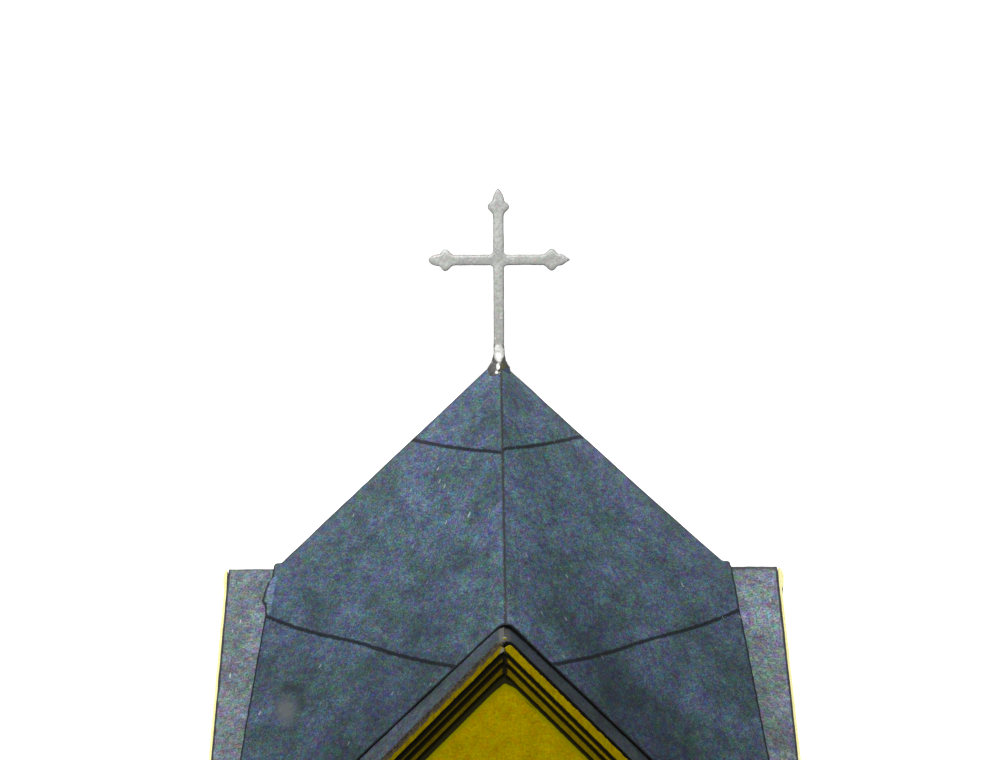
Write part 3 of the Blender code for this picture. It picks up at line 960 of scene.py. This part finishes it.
silverPaint = {
    "silver": (0.475, 0.485, 0.47, 1.0),
    "pale": (0.565, 0.575, 0.555, 1.0),
    "green": (0.42, 0.47, 0.39, 1.0),
    "pink": (0.53, 0.45, 0.45, 1.0),
    "glint": (0.92, 0.93, 0.90, 1.0),
    # side is the painted shade on the cross's edges that turn sideways or away from the light
    "side": (0.10, 0.10, 0.085, 1.0),
    "shadowed": (0.80, 0.0, -0.60),  # heading of the edges that turn away from the light
}


def silverMaterial():
    material, tree, shader = newMaterial("silver_paint_coat")
    place = tree.nodes.new("ShaderNodeTexCoord").outputs["Object"]
    broad = noiseNode(tree, place, 900.0, 2.0)
    paler = rampNode(tree, broad.outputs[0], 0.35, 0.65)
    colour = mixNode(tree, paler, silverPaint["silver"], silverPaint["pale"])
    tints = noiseNode(tree, place, 3600.0, 1.0, 0.6)
    parts = tree.nodes.new("ShaderNodeSeparateColor")
    tree.links.new(tints.outputs["Color"], parts.inputs[0])
    greener = rampNode(tree, parts.outputs[0], 0.5, 0.75, 0.0, 0.8)
    colour = mixNode(tree, greener, colour, silverPaint["green"])
    pinker = rampNode(tree, parts.outputs[1], 0.52, 0.75, 0.0, 0.7)
    colour = mixNode(tree, pinker, colour, silverPaint["pink"])
    grain = noiseNode(tree, place, 8000.0, 2.0, 0.7)
    brushed = rampNode(tree, grain.outputs[0], 0.25, 0.75, 0.82, 1.18)
    colour = mixNode(tree, 1.0, colour, brushed, "MULTIPLY")
    glints = flecks(tree, place, 2600.0, 0.14, 0.16, 0.10)
    colour = mixNode(tree, mathNode(tree, "MULTIPLY", glints, 0.8), colour, silverPaint["glint"])
    # painted shade: edges that turn sideways and edges that face away from the light are darkened
    normal = tree.nodes.new("ShaderNodeNewGeometry").outputs["Normal"]
    facing = tree.nodes.new("ShaderNodeSeparateXYZ")
    tree.links.new(normal, facing.inputs[0])
    turnedAway = rampNode(tree, mathNode(tree, "ABSOLUTE", facing.outputs["Y"]), 0.30, 0.88, 0.45, 0.0)
    shadowed = tree.nodes.new("ShaderNodeVectorMath")
    shadowed.operation = "DOT_PRODUCT"
    tree.links.new(normal, shadowed.inputs[0])
    shadowed.inputs[1].default_value = silverPaint["shadowed"]
    inShadow = rampNode(tree, shadowed.outputs["Value"], 0.25, 0.75, 0.0, 0.9)
    dark = mathNode(tree, "MAXIMUM", turnedAway, inShadow)
    colour = mixNode(tree, dark, colour, silverPaint["side"])
    tree.links.new(colour, shader.inputs["Base Color"])
    shader.inputs["Metallic"].default_value = 0.1
    shader.inputs["Roughness"].default_value = 0.5
    addBump(tree, shader, noiseNode(tree, place, 7000.0, 2.0, 0.6).outputs[0], 0.25, 0.00002)
    return material


addPiece("cross_painted", crossMesh(), "silver_paint", "cross")
print("cross made")


# Glue in the apex

glue = {
    "turns": 120,
    "profile": (  # radius and height over the apex, from the shaft down to the roof
        (0.345, 0.98), (0.35, 0.70), (0.355, 0.42), (0.40, 0.16), (0.47, -0.06),
        (0.57, -0.30), (0.70, -0.56), (0.78, -0.85), (0.80, -1.25),
    ),
    "lumps": 0.022,
    "hollow": 0.10,  # how much less of it there is on the front right
}


def glueMesh():
    # rings whose radius follows the profile down the shaft and out over the roof, flattened towards the
    # shaft's thickness at the top, closed by a sleeve inside the shaft
    profile = np.array(glue["profile"])
    run = np.linspace(0.0, 1.0, len(profile))
    fine = np.linspace(0.0, 1.0, 72)
    radius = np.concatenate([np.interp(fine, run, profile[:, 0]), [0.6, 0.25, 0.1, 0.1]])
    height = np.concatenate([np.interp(fine, run, profile[:, 1]), [-1.4, -1.4, -0.8, 0.9]])
    angle = np.linspace(0.0, 2.0 * np.pi, glue["turns"], endpoint=False)
    depth = radius * (1.0 - 0.40 * smoothStep((height + 0.1) / 0.6))
    points = np.stack([
        radius[:, None] * np.cos(angle),
        depth[:, None] * np.sin(angle),
        np.repeat(height[:, None], glue["turns"], axis=1),
    ], axis=-1)
    lumps = glue["lumps"] * (wander(points, 0.55, 71) + 0.35 * wander(points, 0.2, 72))
    hollow = glue["hollow"] * np.exp(-(((angle - math.radians(315.0)) / 0.45) ** 2))
    outside = (np.arange(len(radius)) < 70)[:, None] * smoothStep(-height / 0.9)[:, None]
    swell = 1.0 + (lumps - outside * hollow) / np.maximum(radius, 0.3)[:, None]
    points[..., :2] *= swell[..., None]
    points += np.array([crossSize["shift"], 0.0, tower["apexHeight"]])
    rows = len(radius)
    index = np.arange(rows * glue["turns"]).reshape(rows, glue["turns"])
    below = np.roll(index, -1, axis=0)
    quads = np.stack([index, np.roll(index, -1, 1), np.roll(below, -1, 1), below], axis=-1).reshape(-1, 4)
    rise = np.repeat(height[:, None], glue["turns"], 1)
    uv = np.stack([np.repeat(angle[None, :], rows, 0), rise], axis=-1).reshape(-1, 2)
    return writeMesh(
        "cross_glue_drop",
        points.reshape(-1, 3),
        quads,
        (glueMaterial(),),
        np.zeros(len(quads)),
        uv,
        {"rise": rise.ravel(), "across": (points[..., 0] - crossSize["shift"]).ravel()},
    )


glueGreys = ((0.145, 0.145, 0.14, 1.0), (0.195, 0.195, 0.19, 1.0))
# the four nearly white spots are painted highlights on the glossy glue and paint; the silver-white patch
# over the apex is paint, the darker spots are stains
glueStainsAndHighlights = (  # middle across and up, half sizes, colour
    (-0.53, -0.04, 0.12, 0.26, (0.46, 0.46, 0.45, 1.0)),
    (-0.41, 0.04, 0.07, 0.14, (0.10, 0.10, 0.09, 1.0)),
    (0.25, -0.42, 0.16, 0.16, (0.13, 0.13, 0.05, 1.0)),
    (0.45, -0.80, 0.28, 0.22, (0.075, 0.11, 0.19, 1.0)),
    (0.00, 0.50, 0.33, 0.64, (0.80, 0.80, 0.77, 1.0)),
    (-0.02, 0.20, 0.14, 0.22, (1.0, 1.0, 0.98, 1.0)),
    (-0.05, 0.78, 0.16, 0.14, (0.95, 0.95, 0.93, 1.0)),
    (-0.07, -0.42, 0.12, 0.20, (1.0, 1.0, 0.93, 1.0)),
    (-0.16, -0.80, 0.10, 0.10, (1.0, 1.0, 0.88, 1.0)),
    (0.06, -0.82, 0.07, 0.06, (0.55, 0.54, 0.36, 1.0)),
    (0.00, -0.64, 0.07, 0.07, (0.05, 0.045, 0.035, 1.0)),
)


def glueMaterial():
    # grey and olive glue, with the paint, painted highlights and stains laid on it as wobbly spots
    material, tree, shader = newMaterial("dried_glue_paint")
    place = tree.nodes.new("ShaderNodeTexCoord").outputs["Object"]
    lumps = noiseNode(tree, place, 3200.0, 2.0)
    fine = noiseNode(tree, place, 6500.0, 2.0)
    across = markNode(tree, "across")
    rise = markNode(tree, "rise")
    grey = mixNode(tree, rampNode(tree, fine.outputs[0], 0.35, 0.65), glueGreys[0], glueGreys[1])
    colour = mixNode(tree, rampNode(tree, across, -0.02, 0.22), grey, (0.105, 0.11, 0.085, 1.0))
    colour = mixNode(tree, rampNode(tree, across, 0.35, 0.60), colour, (0.07, 0.07, 0.065, 1.0))
    wobble = mathNode(tree, "MULTIPLY", mathNode(tree, "SUBTRACT", lumps.outputs[0], 0.5), 1.6)
    for middleAcross, middleRise, sizeAcross, sizeRise, spotColour in glueStainsAndHighlights:
        right = mathNode(tree, "DIVIDE", mathNode(tree, "SUBTRACT", across, middleAcross), sizeAcross)
        up = mathNode(tree, "DIVIDE", mathNode(tree, "SUBTRACT", rise, middleRise), sizeRise)
        rightSquare = mathNode(tree, "MULTIPLY", right, right)
        upSquare = mathNode(tree, "MULTIPLY", up, up)
        away = mathNode(tree, "ADD", mathNode(tree, "ADD", rightSquare, upSquare), wobble)
        colour = mixNode(tree, rampNode(tree, away, 0.75, 1.25, 1.0, 0.0), colour, spotColour)
    colour = mixNode(tree, 1.0, colour, rampNode(tree, fine.outputs[0], 0.3, 0.7, 0.80, 1.15), "MULTIPLY")
    tree.links.new(colour, shader.inputs["Base Color"])
    shader.inputs["Roughness"].default_value = 0.32
    addBump(tree, shader, noiseNode(tree, place, 5000.0, 2.0).outputs[0], 0.4, 0.00004)
    return material


addPiece("cross_glue_drop", glueMesh(), "dried_glue", "cross_glue")
print("glue made")


# Loose paper fibres at the tips of the gables

# side, along the gable from its peak, height over the ridge, length, heading and bend in degrees
looseFibres = (
    ("left", 0.02, -0.02, 0.42, 150.0, 40.0),
    ("left", 0.06, -0.06, 0.36, 35.0, 65.0),
    ("left", -0.04, 0.00, 0.30, 200.0, 30.0),
    ("right", 0.03, 0.00, 0.40, 95.0, 70.0),
    ("right", 0.10, -0.05, 0.28, 60.0, 35.0),
    ("back", 0.05, -0.30, 0.30, 80.0, 20.0),
)


def fibresMesh():
    # thin tapered tubes along short arcs
    rows, turns, thickness = 9, 6, 0.011
    share = np.linspace(0.0, 1.0, rows)
    angle = np.linspace(0.0, 2.0 * np.pi, turns, endpoint=False)
    points = []
    quads = []
    for number, (sideName, along, lift, length, heading, bend) in enumerate(looseFibres):
        turned = np.radians(heading + bend * share)
        step = length / (rows - 1)
        level = np.cumsum(np.cos(turned)) * step
        upward = np.cumsum(np.sin(turned)) * step
        line = np.stack([level, 0.0 * share, upward], axis=-1)
        taper = thickness * np.sin(np.pi * (0.12 + 0.8 * share)) + 0.002
        across = np.stack([-np.sin(turned), 0.0 * share, np.cos(turned)], axis=-1)
        aroundIt = np.cos(angle)[None, :, None] * across[:, None, :]
        aroundIt = aroundIt + np.sin(angle)[None, :, None] * np.array([0.0, 1.0, 0.0])
        ring = line[:, None, :] + taper[:, None, None] * aroundIt
        reach = tower["hoodReach"] + 0.12
        tipHeight = tower["ridgeHeight"] + lift
        ring = np.stack([ring[..., 1] + along, -reach - ring[..., 0], ring[..., 2] + tipHeight], axis=-1)
        start = number * rows * turns
        points.append(quarterTurned(ring, sideNames.index(sideName)).reshape(-1, 3))
        index = start + np.arange(rows * turns).reshape(rows, turns)
        after = np.roll(index, -1, axis=1)
        quads.append(np.stack([index[:-1], after[:-1], after[1:], index[1:]], axis=-1).reshape(-1, 4))
        first, last = index[0], index[-1]
        ends = [first[[3, 2, 1, 0]], first[[5, 4, 3, 0]], last[[0, 1, 2, 3]], last[[0, 3, 4, 5]]]
        quads.append(np.array(ends))
    points = np.concatenate(points)
    quads = np.concatenate(quads)
    marks = {"shade": np.ones(len(points))}
    return writeMesh("tip_fibres", points, quads, (yellowEdge,), np.zeros(len(quads)), points[:, :2], marks)


addPiece("tip_fibres", fibresMesh(), "yellow_print")
print("fibres made")


# Floor, light, camera

stageSetup = {"floor": 3.0, "tone": (0.6, 0.6, 0.6, 1.0), "glow": 0.95}


def buildFloor():
    half = stageSetup["floor"] / 2.0
    mesh = bpy.data.meshes.new("floor")
    corners = [(-half, -half, 0.0), (half, -half, 0.0), (half, half, 0.0), (-half, half, 0.0)]
    mesh.from_pydata(corners, [], [(0, 1, 2, 3)])
    material, tree, shader = newMaterial("pale_floor")
    shader.inputs["Base Color"].default_value = stageSetup["tone"]
    shader.inputs["Roughness"].default_value = 0.9
    shader.inputs["Emission Color"].default_value = (1.0, 1.0, 1.0, 1.0)
    shader.inputs["Emission Strength"].default_value = stageSetup["glow"]
    mesh.materials.append(material)
    floor = bpy.data.objects.new("floor", mesh)
    floor.visible_diffuse = False
    floor.visible_glossy = False
    bpy.context.scene.collection.objects.link(floor)


light = {
    "worldTop": 0.16,
    "worldFoot": 0.06,
    "worldGloss": 0.55,
    "worldSeen": 1.3,
}
lamps = {  # heading from the tower, distance, size, brightness of a white card facing it
    "key": {"heading": (-0.14, -0.75, 0.62), "distance": 150.0, "size": 34.0, "level": 1.00},
    "back": {"heading": (0.05, 0.97, 0.24), "distance": 260.0, "size": 120.0, "level": 0.42},
}


def buildLight():
    world = bpy.data.worlds.new("white_room")
    bpy.context.scene.world = world
    world.use_nodes = True
    tree = world.node_tree
    tree.nodes.clear()
    parts = tree.nodes.new("ShaderNodeSeparateXYZ")
    tree.links.new(tree.nodes.new("ShaderNodeTexCoord").outputs["Generated"], parts.inputs[0])
    rays = tree.nodes.new("ShaderNodeLightPath")
    strength = rampNode(tree, parts.outputs["Z"], -0.4, 0.8, light["worldFoot"], light["worldTop"])
    for kind, level in (("Is Glossy Ray", light["worldGloss"]), ("Is Camera Ray", light["worldSeen"])):
        other = mathNode(tree, "SUBTRACT", 1.0, rays.outputs[kind])
        strength = mathNode(tree, "MULTIPLY", strength, other)
        strength = mathNode(tree, "ADD", strength, mathNode(tree, "MULTIPLY", rays.outputs[kind], level))
    room = tree.nodes.new("ShaderNodeBackground")
    room.inputs["Color"].default_value = (1.0, 1.0, 1.0, 1.0)
    tree.links.new(strength, room.inputs["Strength"])
    tree.links.new(room.outputs[0], tree.nodes.new("ShaderNodeOutputWorld").inputs[0])
    for name, lamp in lamps.items():
        data = bpy.data.lights.new(name, "AREA")
        data.energy = lamp["level"] * (math.pi * lamp["distance"] * millimetre) ** 2
        data.size = lamp["size"] * millimetre
        piece = bpy.data.objects.new(name, data)
        heading = np.array(lamp["heading"]) / np.linalg.norm(lamp["heading"])
        target = np.array([0.0, 0.0, 25.0]) * millimetre
        piece.location = target + heading * lamp["distance"] * millimetre
        piece.rotation_euler = Matrix(lookAlong(-heading)).to_euler()
        bpy.context.scene.collection.objects.link(piece)


def lookAlong(aim):
    # rotation whose -Z axis points along aim
    back = -aim / np.linalg.norm(aim)
    side = np.cross([0.0, 0.0, 1.0], back)
    side /= np.linalg.norm(side)
    return np.stack([side, np.cross(back, side), back], axis=1).tolist()


view = {
    "place": (-0.772, -129.59, 13.673),  # from the axis, from the axis, over the apex
    "yaw": 0.292,
    "pitch": 6.618,
    "roll": -0.258,
    "lens": 72.152,
}


def buildCamera():
    data = bpy.data.cameras.new("camera")
    data.lens = view["lens"]
    data.sensor_width = 36.0
    data.clip_start = 0.005
    data.clip_end = 10.0
    camera = bpy.data.objects.new("camera", data)
    x, y, z = view["place"]
    camera.location = (x * millimetre, y * millimetre, (tower["apexHeight"] + z) * millimetre)
    yaw = Matrix.Rotation(-math.radians(view["yaw"]), 3, "Z")
    tilt = Matrix.Rotation(math.radians(90.0 - view["pitch"]), 3, "X")
    roll = Matrix.Rotation(math.radians(view["roll"]), 3, "Z")
    camera.rotation_euler = (yaw @ tilt @ roll).to_euler()
    bpy.context.scene.collection.objects.link(camera)
    bpy.context.scene.camera = camera


lens = {"haze": 0.045, "hazeSize": 70, "softness": 1, "contrast": 1.25, "saturation": 1.06}


def buildLens():
    # light scattered in the lens from the bright room, a slight softness, more contrast and more colour
    scene = bpy.context.scene
    scene.use_nodes = True
    tree = scene.node_tree
    tree.nodes.clear()
    layers = tree.nodes.new("CompositorNodeRLayers")
    soft = tree.nodes.new("CompositorNodeBlur")
    soft.filter_type = "GAUSS"
    soft.size_x = soft.size_y = lens["softness"]
    haze = tree.nodes.new("CompositorNodeBlur")
    haze.filter_type = "FAST_GAUSS"
    haze.size_x = haze.size_y = lens["hazeSize"]
    blend = tree.nodes.new("CompositorNodeMixRGB")
    blend.inputs[0].default_value = lens["haze"]
    out = tree.nodes.new("CompositorNodeComposite")
    tree.links.new(layers.outputs["Image"], soft.inputs["Image"])
    tree.links.new(layers.outputs["Image"], haze.inputs["Image"])
    tree.links.new(soft.outputs["Image"], blend.inputs[1])
    tree.links.new(haze.outputs["Image"], blend.inputs[2])
    tone = tree.nodes.new("CompositorNodeGamma")
    tone.inputs[1].default_value = lens["contrast"]
    tree.links.new(blend.outputs["Image"], tone.inputs[0])
    tint = tree.nodes.new("CompositorNodeHueSat")
    tint.inputs["Saturation"].default_value = lens["saturation"]
    tree.links.new(tone.outputs[0], tint.inputs["Image"])
    tree.links.new(tint.outputs[0], out.inputs["Image"])


buildFloor()
buildLight()
buildCamera()
buildLens()
scene = bpy.context.scene
scene.view_settings.view_transform = "Standard"
scene.view_settings.look = "None"
print("floor, light and camera set")
